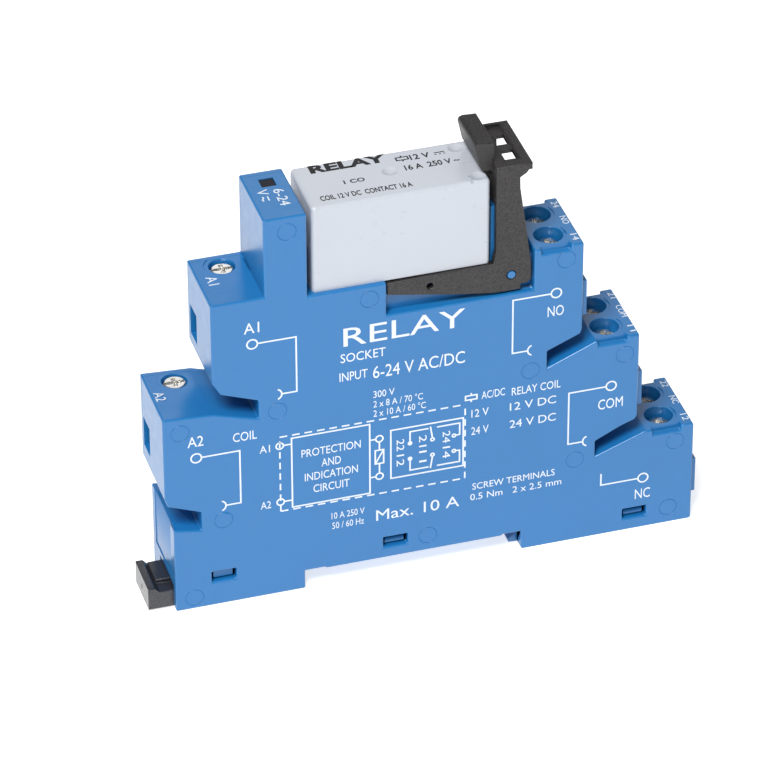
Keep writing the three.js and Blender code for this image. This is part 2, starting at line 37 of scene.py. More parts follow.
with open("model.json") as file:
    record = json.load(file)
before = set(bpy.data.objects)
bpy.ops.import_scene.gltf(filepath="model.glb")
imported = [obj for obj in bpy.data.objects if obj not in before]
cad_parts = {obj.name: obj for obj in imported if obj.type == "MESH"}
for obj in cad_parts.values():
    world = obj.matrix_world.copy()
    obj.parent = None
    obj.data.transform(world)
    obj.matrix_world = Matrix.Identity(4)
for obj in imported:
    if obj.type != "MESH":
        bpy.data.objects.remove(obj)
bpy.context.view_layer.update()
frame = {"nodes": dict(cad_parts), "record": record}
RECORD = frame["record"]
BODY_OF = {node: body for body, nodes in RECORD["behaviour"]["bodies"].items() for node in nodes}
SLOT_OF = {part["node"]: part["material_slot"] for part in RECORD["subparts"]}


def corners(node):
    """The lowest and highest corner of a plain solid, in millimetres."""
    low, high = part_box(node)
    return low / MM, high / MM


# ---- Camera -------------------------------------------------------------------------
AIM = Vector((1.6, 0, 30))  # a place inside the object
AZIMUTH = math.radians(-16.795)  # turned from straight in front of the printed side
ELEVATION = math.radians(34.539)
ROLL = math.radians(-0.222)
DISTANCE = 822.44
ASIDE = -6.4  # to the right of the line through AIM, so it stands to the left
ABOVE = 0.75
LENS = 240.7
SENSOR = 36
FARTHEST = 20  # metres


def add_camera():
    level = math.cos(ELEVATION)
    back = Vector(
        (math.sin(AZIMUTH) * level, -math.cos(AZIMUTH) * level, math.sin(ELEVATION))
    )
    level_right = Vector((0, 0, 1)).cross(back).normalized()
    roll = Matrix.Rotation(ROLL, 3, back)
    right = roll @ level_right
    up = roll @ back.cross(level_right)
    data = bpy.data.cameras.new("camera")
    data.lens = LENS
    data.sensor_width = SENSOR
    data.clip_end = FARTHEST
    camera = bpy.data.objects.new("camera", data)
    bpy.context.scene.collection.objects.link(camera)
    turn = Matrix((right, up, back)).transposed().to_4x4()
    place = (AIM + back * DISTANCE + right * ASIDE + up * ABOVE) * MM
    camera.matrix_world = Matrix.Translation(place) @ turn
    bpy.context.scene.camera = camera


add_camera()


# ---- Materials ----------------------------------------------------------------------
# Sizes of the features in each finish.
CLOUDS = 14
FLOW_MARKS = 2.2
GRAIN = 0.16
SPECKS = 0.22
DRAWING_MARKS = 0.12
STAINS = 1.4

DARKEST = 0.15  # a speck keeps this part of its colour
DRAWN_OUT = (0.08, 1, 1)  # drawing marks are long along X
COAT_ROUGHNESS = 0.25


def shader_group(name, inputs, outputs):
    """An empty node group with named sockets, and its input and output nodes."""
    tree = bpy.data.node_groups.new(name, "ShaderNodeTree")
    for label, kind, default in inputs:
        socket = tree.interface.new_socket(label, in_out="INPUT", socket_type=kind)
        socket.default_value = default
    for label, kind in outputs:
        tree.interface.new_socket(label, in_out="OUTPUT", socket_type=kind)
    return tree, tree.nodes.new("NodeGroupInput"), tree.nodes.new("NodeGroupOutput")


def wire(tree, start, end):
    tree.links.new(start, end)


def noise_node(tree, coordinates, size, detail):
    """Noise whose features are about so many millimetres across."""
    noise = tree.nodes.new("ShaderNodeTexNoise")
    noise.inputs["Scale"].default_value = 1 / (size * MM)
    noise.inputs["Detail"].default_value = detail
    wire(tree, coordinates, noise.inputs["Vector"])
    return noise.outputs["Fac"]


def math_node(tree, operation, first, second, third=None):
    """One sum on values, each a plain number or another node's output."""
    node = tree.nodes.new("ShaderNodeMath")
    node.operation = operation
    for socket, value in zip(node.inputs, (first, second, third)):
        if value is None:
            continue
        if isinstance(value, (int, float)):
            socket.default_value = value
        else:
            wire(tree, value, socket)
    return node.outputs["Value"]


def brightened(tree, colour, factor):
    """A colour times a factor."""
    node = tree.nodes.new("ShaderNodeVectorMath")
    node.operation = "SCALE"
    wire(tree, colour, node.inputs[0])
    wire(tree, factor, node.inputs["Scale"])
    return node.outputs["Vector"]


def make_moulded_group():
    """Moulded plastic: a fine spark-eroded grain, faint flow marks and an uneven gloss."""
    tree, given, result = shader_group(
        "moulded_grain",
        [
            ("Colour", "NodeSocketColor", (0.5, 0.5, 0.5, 1)),
            ("Roughness", "NodeSocketFloat", 0.4),
            ("Mottle", "NodeSocketFloat", 0.05),
            ("Speckle", "NodeSocketFloat", 0.0),
        ],
        [
            ("Colour", "NodeSocketColor"),
            ("Roughness", "NodeSocketFloat"),
            ("Height", "NodeSocketFloat"),
        ],
    )
    place = tree.nodes.new("ShaderNodeTexCoord").outputs["Object"]
    clouds = noise_node(tree, place, CLOUDS, 2.0)
    flow = noise_node(tree, place, FLOW_MARKS, 4.0)
    grain = noise_node(tree, place, GRAIN, 2.0)
    specks = noise_node(tree, place, SPECKS, 2.0)
    cloud_part = math_node(tree, "MULTIPLY_ADD", clouds, 1.3, flow)
    shade = math_node(tree, "SUBTRACT", cloud_part, 1.15)
    mottled = math_node(tree, "MULTIPLY", shade, given.outputs["Mottle"])
    speck_shade = math_node(tree, "SUBTRACT", specks, 0.5)
    speckled = math_node(tree, "MULTIPLY_ADD", speck_shade, given.outputs["Speckle"], mottled)
    factor = math_node(tree, "MAXIMUM", math_node(tree, "ADD", speckled, 1.0), DARKEST)
    wire(tree, brightened(tree, given.outputs["Colour"], factor), result.inputs["Colour"])
    uneven = math_node(tree, "MULTIPLY_ADD", flow, 0.16, given.outputs["Roughness"])
    wire(tree, math_node(tree, "SUBTRACT", uneven, 0.08), result.inputs["Roughness"])
    wire(tree, math_node(tree, "MULTIPLY_ADD", specks, 0.6, grain), result.inputs["Height"])
    return tree


def make_metal_group():
    """Worked metal: drawing marks along X, and stains that dull its colour and gloss."""
    tree, given, result = shader_group(
        "worked_metal",
        [
            ("Colour", "NodeSocketColor", (0.7, 0.7, 0.7, 1)),
            ("Roughness", "NodeSocketFloat", 0.3),
            ("Stain", "NodeSocketFloat", 0.2),
        ],
        [
            ("Colour", "NodeSocketColor"),
            ("Roughness", "NodeSocketFloat"),
            ("Height", "NodeSocketFloat"),
        ],
    )
    place = tree.nodes.new("ShaderNodeTexCoord").outputs["Object"]
    stretch = tree.nodes.new("ShaderNodeMapping")
    stretch.inputs["Scale"].default_value = DRAWN_OUT
    wire(tree, place, stretch.inputs["Vector"])
    marks = noise_node(tree, stretch.outputs["Vector"], DRAWING_MARKS, 3.0)
    stains = noise_node(tree, place, STAINS, 4.0)
    dull = math_node(tree, "SUBTRACT", stains, 0.5)
    factor = math_node(tree, "MULTIPLY_ADD", dull, given.outputs["Stain"], 1.0)
    wire(tree, brightened(tree, given.outputs["Colour"], factor), result.inputs["Colour"])
    uneven = math_node(tree, "MULTIPLY_ADD", marks, 0.2, given.outputs["Roughness"])
    stained = math_node(tree, "MULTIPLY_ADD", stains, 0.12, uneven)
    wire(tree, math_node(tree, "SUBTRACT", stained, 0.16), result.inputs["Roughness"])
    wire(tree, math_node(tree, "MULTIPLY_ADD", stains, 0.5, marks), result.inputs["Height"])
    return tree


MOULDED = make_moulded_group()
METAL = make_metal_group()


def finish(name, tree, colour, roughness, relief, metallic=0.0, coat=0.0, **more):
    """A material with colour, gloss and relief, in millimetres, from one of the groups."""
    material = bpy.data.materials.new(name)
    material.use_nodes = True
    nodes = material.node_tree.nodes
    shader = nodes["Principled BSDF"]
    surface = nodes.new("ShaderNodeGroup")
    surface.node_tree = tree
    surface.inputs["Colour"].default_value = (*colour, 1)
    surface.inputs["Roughness"].default_value = roughness
    for label, value in more.items():
        surface.inputs[label.capitalize()].default_value = value
    bump = nodes.new("ShaderNodeBump")
    bump.inputs["Strength"].default_value = 1.0
    bump.inputs["Distance"].default_value = relief * MM
    own = material.node_tree
    wire(own, surface.outputs["Colour"], shader.inputs["Base Color"])
    wire(own, surface.outputs["Roughness"], shader.inputs["Roughness"])
    wire(own, surface.outputs["Height"], bump.inputs["Height"])
    wire(own, bump.outputs["Normal"], shader.inputs["Normal"])
    shader.inputs["Metallic"].default_value = metallic
    shader.inputs["Coat Weight"].default_value = coat
    shader.inputs["Coat Roughness"].default_value = COAT_ROUGHNESS
    return material


FINISHES = {
    "blue_housing": finish(
        "blue_housing", MOULDED, (0.01, 0.155, 0.41), 0.32, 0.005, coat=0.3, mottle=0.06,
        speckle=0.03
    ),
    "lever_plastic": finish(
        "lever_plastic", MOULDED, (0.021, 0.019, 0.02), 0.44, 0.04, mottle=0.5, speckle=4.0
    ),
    "latch_plastic": finish(
        "latch_plastic", MOULDED, (0.018, 0.018, 0.024), 0.34, 0.03, coat=0.5, mottle=0.5, speckle=3.5
    ),
    "window_lens": finish(
        "window_lens", MOULDED, (0.004, 0.006, 0.012), 0.5, 0.001, mottle=0.05
    ),
    "circuit_board": finish(
        "circuit_board", MOULDED, (0.02, 0.13, 0.05), 0.35, 0.004, coat=0.3, mottle=0.2
    ),
    "lamp": finish("lamp", MOULDED, (0.25, 0.6, 0.22), 0.2, 0.001, coat=0.5, mottle=0.08),
    "dark_part": finish("dark_part", MOULDED, (0.015, 0.015, 0.016), 0.35, 0.01, speckle=0.3),
    "resistor_body": finish(
        "resistor_body", MOULDED, (0.5, 0.36, 0.17), 0.4, 0.008, coat=0.2, mottle=0.15
    ),
    "capacitor_body": finish(
        "capacitor_body", MOULDED, (0.42, 0.19, 0.02), 0.3, 0.008, coat=0.3, mottle=0.2
    ),
    "screw_steel": finish(
        "screw_steel", METAL, (0.82, 0.81, 0.78), 0.24, 0.006, metallic=1.0, stain=0.5
    ),
    "cage_steel": finish(
        "cage_steel", METAL, (0.55, 0.52, 0.44), 0.34, 0.006, metallic=1.0, stain=0.4
    ),
    "contact_brass": finish(
        "contact_brass", METAL, (0.72, 0.5, 0.2), 0.3, 0.004, metallic=1.0, stain=0.4
    ),
    "relay_case": finish(
        "relay_case", MOULDED, (0.49, 0.52, 0.575), 0.3, 0.0025, coat=0.15, mottle=0.03
    ),
    "relay_floor": finish(
        "relay_floor", MOULDED, (0.025, 0.025, 0.028), 0.5, 0.012, mottle=0.2, speckle=0.3
    ),
    "bobbin_plastic": finish(
        "bobbin_plastic", MOULDED, (0.75, 0.71, 0.6), 0.45, 0.006, mottle=0.08, speckle=0.05
    ),
    "copper_wire": finish(
        "copper_wire", METAL, (0.62, 0.2, 0.06), 0.28, 0.003, metallic=1.0, coat=0.5, stain=0.3
    ),
    "soft_iron": finish(
        "soft_iron", METAL, (0.5, 0.5, 0.5), 0.36, 0.006, metallic=1.0, stain=0.4
    ),
    "card_plastic": finish(
        "card_plastic", MOULDED, (0.82, 0.81, 0.76), 0.5, 0.006, mottle=0.05, speckle=0.05
    ),
    "tinned_metal": finish(
        "tinned_metal", METAL, (0.7, 0.7, 0.67), 0.24, 0.003, metallic=1.0, stain=0.3
    ),
}
WHITE_INK = finish("white_ink", MOULDED, (0.7, 0.75, 0.82), 0.5, 0.004, mottle=0.12, speckle=0.1)
DARK_INK = finish("dark_ink", MOULDED, (0.012, 0.012, 0.015), 0.5, 0.004, mottle=0.3, speckle=0.4)


# ---- Bench tools --------------------------------------------------------------------
WELD = 0.004  # corners of loose triangles this close are one
FLAT = math.radians(0.6)  # faces that turn less than this are one
SHARP = math.radians(24)
NEAR = 0.02  # two places this close are the same


def take_up(*pieces):
    """Selects these pieces alone; the first is the active one."""
    bpy.ops.object.select_all(action="DESELECT")
    for piece in pieces:
        piece.select_set(True)
    bpy.context.view_layer.objects.active = pieces[0]


def settle(piece):
    """Moves a piece's place, turn and size into its mesh."""
    take_up(piece)
    bpy.ops.object.transform_apply(location=True, rotation=True, scale=True)


def joined(pieces, name):
    """One piece made of several."""
    take_up(*pieces)
    if len(pieces) > 1:
        bpy.ops.object.join()
    piece = bpy.context.view_layer.objects.active
    piece.name = name
    settle(piece)
    return piece


def smooth(piece, angle=35):
    """Shades a piece smooth up to this angle, and lets its large faces set the shading."""
    take_up(piece)
    bpy.ops.object.shade_smooth_by_angle(angle=math.radians(angle))
    even = piece.modifiers.new("even", "WEIGHTED_NORMAL")
    even.keep_sharp = True
    even.weight = 100
    bpy.ops.object.modifier_apply(modifier="even")


def complete(piece, node, name):
    """Gives a finished piece its name, finish and body, and lets it stand for its plain solid."""
    piece.name = name
    piece.data.materials.clear()
    piece.data.materials.append(FINISHES[SLOT_OF[node]])
    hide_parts(node)
    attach(piece, BODY_OF[node])


def block(low, high):
    """A box between two corners."""
    low, high = Vector(low), Vector(high)
    bpy.ops.mesh.primitive_cube_add(size=1, location=(low + high) / 2 * MM)
    piece = bpy.context.object
    piece.scale = (high - low) * MM
    settle(piece)
    return piece


def merged_copy(node):
    """A copy of a plain solid whose loose triangles are joined into whole faces."""
    piece = bpy.data.objects.new("blank", frame["nodes"][node].data.copy())
    bpy.context.scene.collection.objects.link(piece)
    take_up(piece)
    bpy.ops.object.mode_set(mode="EDIT")
    bpy.ops.mesh.select_all(action="SELECT")
    bpy.ops.mesh.remove_doubles(threshold=WELD * MM)
    bpy.ops.mesh.dissolve_limited(angle_limit=FLAT)
    bpy.ops.object.mode_set(mode="OBJECT")
    return piece


def round_edges(piece, width, chosen, segments=3):
    """Rounds the sharp edges whose two ends, in millimetres, are chosen."""
    take_up(piece)
    bpy.ops.object.mode_set(mode="EDIT")
    bpy.ops.mesh.select_mode(type="EDGE")
    bpy.ops.mesh.select_all(action="DESELECT")
    shape = bmesh.from_edit_mesh(piece.data)
    for edge in shape.edges:
        a, b = (vertex.co / MM for vertex in edge.verts)
        if edge.is_manifold and edge.calc_face_angle() > SHARP and chosen(a, b):
            edge.select_set(True)
    bmesh.update_edit_mesh(piece.data)
    bpy.ops.mesh.bevel(
        offset=width * MM, segments=segments, profile=0.5, affect="EDGES", clamp_overlap=False
    )
    bpy.ops.object.mode_set(mode="OBJECT")


def carve(piece, tools):
    """Cuts the tools out of a piece."""
    tool = joined(tools, "tool")
    take_up(piece)
    cut = piece.modifiers.new("cut", "BOOLEAN")
    cut.operation = "DIFFERENCE"
    cut.solver = "EXACT"
    cut.object = tool
    bpy.ops.object.modifier_apply(modifier="cut")
    bpy.data.objects.remove(tool)


def strip(points, width, half_height, closed=False):
    """A flat bar in the XY plane that follows points, with mitred corners."""
    points = [Vector(point) for point in points]
    count = len(points)
    sections = []
    for index, point in enumerate(points):
        if closed or 0 < index < count - 1:
            before = (point - points[index - 1]).normalized()
            after = (points[(index + 1) % count] - point).normalized()
        elif index == 0:
            before = after = (points[1] - point).normalized()
        else:
            before = after = (point - points[index - 1]).normalized()
        along = (before + after).normalized()
        side = Vector((-along.y, along.x)) * (width / 2 / max(along.dot(after), 0.2))
        for edge, level in ((-1, -1), (1, -1), (1, 1), (-1, 1)):
            sections.append(Vector((*(point + side * edge), level * half_height)) * MM)
    total = len(sections)
    walls = ((0, 1, 5, 4), (1, 2, 6, 5), (2, 3, 7, 6), (3, 0, 4, 7))
    faces = [
        tuple((4 * run + corner) % total for corner in wall)
        for run in range(count if closed else count - 1)
        for wall in walls
    ]
    if not closed:
        faces += [(3, 2, 1, 0), tuple(range(total - 4, total))]
    mesh = bpy.data.meshes.new("strip")
    mesh.from_pydata(sections, [], faces)
    piece = bpy.data.objects.new("strip", mesh)
    bpy.context.scene.collection.objects.link(piece)
    return piece


def arc_points(centre, radius, start=0.0, end=2 * math.pi, steps=28):
    """Points along an arc; a whole turn leaves its last point out."""
    whole = end - start > 2 * math.pi - 0.001
    angles = [start + (end - start) * i / steps for i in range(steps if whole else steps + 1)]
    x, y = centre
    return [(x + radius * math.cos(angle), y + radius * math.sin(angle)) for angle in angles]


def both_at(axis, level):
    """Chooses the edges whose two ends are at one level."""
    return lambda a, b: abs(a[axis] - level) < NEAR and abs(b[axis] - level) < NEAR


def across_from(level):
    """Chooses the edges that run along Y from one level."""

    def chosen(a, b):
        along = abs(a.x - b.x) < NEAR and abs(a.z - b.z) < NEAR
        return along and min(abs(a.y - level), abs(b.y - level)) < NEAR

    return chosen


def above(level):
    """Chooses the edges that lie over one level."""
    return lambda a, b: min(a.z, b.z) > level


def either(*tests):
    """Chooses the edges that any of the tests chooses."""
    return lambda a, b: any(test(a, b) for test in tests)


# ---- Housing ------------------------------------------------------------------------
SHELL_LOW, SHELL_HIGH = corners("socket_body")
PRINTED_FACE = SHELL_LOW.y
SEAM = 0.05
COVER_FRONT = SHELL_HIGH.y + SEAM
COVER_BACK = corners("rear_cover")[1].y
EDGE_ROUND = 0.32
RIM_ROUND = 0.14
SEAM_ROUND = 0.07
# Levels of the terminal blocks' tops.
A1_TOP, A2_TOP = 57.4, 37.55
NO_TOP, COM_TOP, NC_TOP = 57.55, 38.25, 18.95
TOP_OF = {
    "a1": A1_TOP, "a2": A2_TOP, "14": NO_TOP, "24": NO_TOP,
    "11": COM_TOP, "21": COM_TOP, "12": NC_TOP, "22": NC_TOP,
}
TERMINALS = tuple(TOP_OF)

# Faint rings that the mould's ejector pins leave on both sides: X and Z.
EJECTOR_RINGS = (
    (-22.7, 68.8), (-9.5, 53.8), (-24.7, 35.7), (-40.6, 34.6), (-33.9, 16.5),
    (-39, 2.2), (0.1, 6.2), (22.9, 54.9), (33.1, 34.9), (17.2, 34.9),
    (25, 15.9), (42.2, 16), (41.3, 3),
)
RING_RADIUS = 1.5
RING_GROOVE = 0.06

# The screw inserts show as arcs round their wells, in degrees from +X.
WELL_RADIUS = 2.45
WELL_LIP = 0.3
INSERT_RADIUS = 2.87
COIL_ARC = (126, 186)
CONTACT_ARC = (-32, 30)
TOWER_SLIT = [(-26.62, 1.3), (-26.62, 4.7)]


def screw_axis(name):
    """The middle of a screw, and the level of its head's top."""
    low, high = corners("terminal_screw_" + name)
    return (low + high) / 2, high.z


SCREW_AXES = {name: screw_axis(name) for name in TERMINALS}


def on_a_well_rim(a, b):
    """Chooses the rims of the screw wells."""
    for centre, head in SCREW_AXES.values():
        flat = [math.hypot(p.x - centre.x, p.y - centre.y) for p in (a, b)]
        level = abs(a.z - b.z) < NEAR
        if max(flat) < WELL_RADIUS and min(a.z, b.z) > head + WELL_LIP and level:
            return True
    return False


def ejector_rings(face):
    """Tools for the fine round grooves on one side."""
    rings = []
    for x, z in EJECTOR_RINGS:
        bpy.ops.mesh.primitive_torus_add(
            location=(x * MM, face * MM, z * MM),
            rotation=(QUARTER, 0, 0),
            major_radius=RING_RADIUS * MM,
            minor_radius=RING_GROOVE * MM,
            major_segments=48,
            minor_segments=8,
        )
        rings.append(bpy.context.object)
    return rings


def groove(points, top, width=0.2, depth=0.16):
    """A tool for a fine groove along points of a top face."""
    tool = strip(points, width, depth)
    tool.data.transform(Matrix.Translation((0, 0, top * MM)))
    return tool


def top_grooves():
    """The outlines of the screw inserts, and the slit at the tower's foot."""
    tools = []
    for name, top in TOP_OF.items():
        centre, _ = SCREW_AXES[name]
        arc = COIL_ARC if name in ("a1", "a2") else CONTACT_ARC
        start, end = (math.radians(angle) for angle in arc)
        outline = arc_points((centre.x, centre.y), INSERT_RADIUS, start, end, steps=10)
        tools.append(groove(outline, top))
    tools.append(groove(TOWER_SLIT, A1_TOP, width=0.24, depth=0.35))
    return tools


def make_housing():
    """The printed shell: soft outer edges and well rims, rings on its side, fine grooves."""
    shell = merged_copy("socket_body")
    round_edges(shell, RIM_ROUND, on_a_well_rim, segments=2)
    outer = either(both_at(1, PRINTED_FACE), across_from(PRINTED_FACE))
    round_edges(shell, EDGE_ROUND, outer)
    carve(shell, ejector_rings(PRINTED_FACE))
    carve(shell, top_grooves())
    smooth(shell)
    complete(shell, "socket_body", "housing_shell")


def make_rear_cover():
    """The rear shell, whose front edges are broken along the seam."""
    cover = merged_copy("rear_cover")
    round_edges(cover, EDGE_ROUND, either(both_at(1, COVER_BACK), across_from(COVER_BACK)))
    round_edges(cover, SEAM_ROUND, both_at(1, COVER_FRONT), segments=1)
    carve(cover, ejector_rings(COVER_BACK))
    smooth(cover)
    complete(cover, "rear_cover", "rear_cover_shell")


make_housing()
make_rear_cover()


# ---- Lever and latch ----------------------------------------------------------------
LEVER_ROUND = 0.18
LEVER_NOSE = 73.9  # the thumb piece starts at this level
LATCH_ROUND = 0.16
LATCH_GRIP = 3.4  # and the latch's grip at this one


def make_slim_moulding(node, name, width, raised):
    """Rounds a moulding's two side faces, and all of it that lies over one level."""
    piece = merged_copy(node)
    low, high = corners(node)
    edges = either(both_at(1, low.y), both_at(1, high.y), above(raised))
    round_edges(piece, width, edges, segments=2)
    smooth(piece)
    complete(piece, node, name)


make_slim_moulding("ejector_lever", "lever", LEVER_ROUND, LEVER_NOSE)
make_slim_moulding("rail_latch", "latch", LATCH_ROUND, LATCH_GRIP)


# ---- Relay case ---------------------------------------------------------------------
CASE_LOW, CASE_HIGH = corners("relay_cover")
CASE_WALL = 0.8
CASE_CORNER = 0.75
# Shallow round dents on the case's top: X and Y.
DENTS = ((-3.8, 0.7), (8, 4.2), (8.9, -4.7))
DENT_BALL = 2.6
DENT_DEPTH = 0.36
# The small vent groove at the front edge of the top.
VENT_LEFT, VENT_RIGHT = 7.3, 7.75
VENT_LENGTH = 1.9
VENT_DEPTH = 0.4
PAST = 0.2  # a tool stands this far out of what it cuts


def make_relay_case():
    """A thin box with round corners and an open underside, dented and vented on top."""
    case = block(CASE_LOW, CASE_HIGH)
    bottom = CASE_LOW.z
    round_edges(case, CASE_CORNER, lambda a, b: max(a.z, b.z) > bottom + NEAR, segments=5)
    open_underneath(case)
    wall = case.modifiers.new("wall", "SOLIDIFY")
    wall.thickness = CASE_WALL * MM
    wall.offset = -1
    bpy.ops.object.modifier_apply(modifier="wall")
    for tool in relay_dents() + [vent_groove()]:
        carve(case, [tool])
    smooth(case)
    complete(case, "relay_cover", "relay_case")


def open_underneath(case):
    """Deletes the faces that look down."""
    bpy.ops.object.mode_set(mode="EDIT")
    bpy.ops.mesh.select_mode(type="FACE")
    bpy.ops.mesh.select_all(action="DESELECT")
    shape = bmesh.from_edit_mesh(case.data)
    for face in shape.faces:
        face.select_set(face.normal.z < -0.99)
    bmesh.update_edit_mesh(case.data)
    bpy.ops.mesh.delete(type="FACE")
    bpy.ops.object.mode_set(mode="OBJECT")


def relay_dents():
    """Balls that leave the shallow dents."""
    dents = []
    for x, y in DENTS:
        z = CASE_HIGH.z + DENT_BALL - DENT_DEPTH
        bpy.ops.mesh.primitive_uv_sphere_add(
            radius=DENT_BALL * MM, segments=40, ring_count=32, location=(x * MM, y * MM, z * MM)
        )
        dents.append(bpy.context.object)
    return dents


def vent_groove():
    top, front = CASE_HIGH.z, CASE_LOW.y
    return block(
        (VENT_LEFT, front - PAST, top - VENT_DEPTH),
        (VENT_RIGHT, front + VENT_LENGTH, top + PAST),
    )


make_relay_case()


# ---- Clamp screws -------------------------------------------------------------------
HEAD_HEIGHT = 1.7
HEAD_ROUND = 0.35
# Each recess in the head: half its width along X and along Y, and its depth.
HEAD_RECESSES = ((2.5, 0.3, 0.7), (0.36, 1.15, 1.1), (1.15, 0.36, 1.1))
THREAD_RADIUS = 1.2
THREAD_PITCH = 0.5
THREAD_DEPTH = 0.22
LEAD_IN = 0.25  # plain end below the first turn
END_CHAMFER = 0.3


def make_clamp_screw(name):
    """A rounded cheese head with a slot and a cross recess, and a threaded shank."""
    node = "terminal_screw_" + name
    low, high = corners(node)
    centre = (low + high) / 2
    top = high.z
    bpy.ops.mesh.primitive_cylinder_add(
        vertices=48,
        radius=(high.x - low.x) / 2 * MM,
        depth=HEAD_HEIGHT * MM,
        location=Vector((centre.x, centre.y, top - HEAD_HEIGHT / 2)) * MM,
    )
    head = bpy.context.object
    settle(head)
    round_edges(head, HEAD_ROUND, both_at(2, top), segments=4)
    for half_x, half_y, depth in HEAD_RECESSES:
        recess = block(
            (centre.x - half_x, centre.y - half_y, top - depth),
            (centre.x + half_x, centre.y + half_y, top + 1),
        )
        carve(head, [recess])
    shank = threaded_shank(centre, low.z, top - HEAD_HEIGHT + 0.1)
    screw = joined([head, shank], "screw")
    smooth(screw, 40)
    complete(screw, node, "clamp_screw_" + name)


def threaded_shank(centre, bottom, top):
    """A zigzag outline spun round the screw's axis."""
    root = THREAD_RADIUS - THREAD_DEPTH
    outline = [(0, bottom), (THREAD_RADIUS - END_CHAMFER, bottom)]
    for turn in range(int((top - bottom - END_CHAMFER) / THREAD_PITCH)):
        level = bottom + LEAD_IN + turn * THREAD_PITCH
        outline += [(THREAD_RADIUS, level), (root, level + THREAD_PITCH / 2)]
    outline += [(root, top), (0, top)]
    mesh = bpy.data.meshes.new("shank")
    points = [Vector((centre.x + r, centre.y, z)) * MM for r, z in outline]
    mesh.from_pydata(points, [(i, i + 1) for i in range(len(points) - 1)], [])
    shank = bpy.data.objects.new("shank", mesh)
    bpy.context.scene.collection.objects.link(shank)
    take_up(shank)
    bpy.ops.object.mode_set(mode="EDIT")
    bpy.ops.mesh.select_all(action="SELECT")
    axis = Vector((centre.x, centre.y, 0)) * MM
    bpy.ops.mesh.spin(steps=20, angle=2 * math.pi, center=axis, axis=(0, 0, 1))
    bpy.ops.mesh.select_all(action="SELECT")
    bpy.ops.mesh.remove_doubles(threshold=0.001 * MM)
    bpy.ops.mesh.normals_make_consistent(inside=False)
    bpy.ops.object.mode_set(mode="OBJECT")
    return shank


for terminal in TERMINALS:
    make_clamp_screw(terminal)


# ---- Printed marks ------------------------------------------------------------------
INK = 0.02  # half the thickness of an ink layer
INK_STEP = 0.0007  # neighbouring strokes differ by this, so that no two faces share a plane
STROKE = 0.26
# How an upright sheet of ink is laid down: on the printed side, on a top read along X,
# and on a top read from the back towards the printed side.
ON_SIDE = Matrix.Rotation(QUARTER, 4, "X")
ON_TOP = Matrix.Identity(4)
ON_TOP_ACROSS = Matrix.Rotation(-QUARTER, 4, "Z")


class Print:
    """Ink on one flat face: strokes, rings and lettering, which become one piece."""

    def __init__(self, name, ink, body):
        self.name = name
        self.ink = ink
        self.body = body
        self.letters = []
        self.lines = []

    def lay(self, part, turn, place):
        """Lays a flat part on its face; its own X and Y are in the face."""
        part.data.transform(Matrix.Translation(Vector(place) * MM) @ turn)

    def words(self, text, place, height, width, turn=ON_SIDE, spin=0.0, bold=0.0):
        """Lettering centred on a place, with this height of capitals and width."""
        bpy.ops.object.text_add()
        letters = bpy.context.object
        letters.data.body = text
        letters.data.offset = bold
        letters.data.resolution_u = 3
        letters.data.extrude = INK * MM
        take_up(letters)
        bpy.ops.object.convert(target="MESH")
        letters = bpy.context.object
        across = [vertex.co.x for vertex in letters.data.vertices]
        upright = [vertex.co.y for vertex in letters.data.vertices]
        tall = height * MM / (max(upright) - min(upright))
        wide = width * MM / (max(across) - min(across))
        middle = ((min(across) + max(across)) / -2, (min(upright) + max(upright)) / -2, 0)
        shape = Matrix.Diagonal((wide, tall, 1, 1)) @ Matrix.Translation(middle)
        letters.data.transform(Matrix.Rotation(spin, 4, "Z") @ shape)
        self.lay(letters, turn, place)
        self.letters.append(letters)

    def path(self, points, place, turn=ON_SIDE, width=STROKE, closed=False):
        """A line through points of the face, from an origin on it."""
        layer = INK + INK_STEP * (len(self.lines) % 9)
        line = strip(points, width, layer, closed)
        self.lay(line, turn, place)
        self.lines.append(line)

    def dashes(self, start, end, place, dash=1.25, pitch=2.02):
        """A dashed line between two points."""
        start, end = Vector(start), Vector(end)
        along = end - start
        count = round(along.length / pitch)
        step = along / count
        for index in range(count):
            first = start + step * index
            self.path([first, first + step.normalized() * dash], place)

    def ring(self, centre, radius, place, turn=ON_SIDE, width=STROKE):
        self.path(arc_points(centre, radius), place, turn, width, closed=True)

    def finish(self):
        """Joins the letters and lines, gives them their ink and lets them ride."""
        letters = joined(self.letters, "letters")
        bpy.ops.object.mode_set(mode="EDIT")
        bpy.ops.mesh.select_all(action="SELECT")
        bpy.ops.mesh.remove_doubles(threshold=0.0005 * MM)
        bpy.ops.mesh.normals_make_consistent(inside=False)
        bpy.ops.object.mode_set(mode="OBJECT")
        piece = joined([letters, *self.lines], self.name)
        piece.data.materials.clear()
        piece.data.materials.append(self.ink)
        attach(piece, self.body)


SIDE = (0, PRINTED_FACE, 0)
THIN = 0.25
CONTACT_RING = 0.85
FORK_RING = 0.95
FORK_SPREAD = 1.25  # radians to each side of its middle
TERMINAL_HEIGHT = 1.95


def on_side(x, z):
    """A place on the printed side."""
    return (x, PRINTED_FACE, z)


def terminal_mark(marks, name, ring, corner_x, fork, name_z, width):
    """A terminal's ring, its line, and the fork that takes one relay pin."""
    ring_x, ring_z = ring
    fork_x, fork_z = fork
    out = math.copysign(1, corner_x - ring_x)
    marks.ring(ring, CONTACT_RING, SIDE)
    points = [(ring_x + out * CONTACT_RING, ring_z), (corner_x, ring_z), (corner_x, fork_z)]
    marks.path(points + [(fork_x + out * FORK_RING, fork_z)], SIDE)
    middle = 0.0 if out > 0 else math.pi
    marks.path(arc_points(fork, FORK_RING, middle - FORK_SPREAD, middle + FORK_SPREAD), SIDE)
    marks.words(name, on_side(ring_x - 0.05, name_z), TERMINAL_HEIGHT, width)


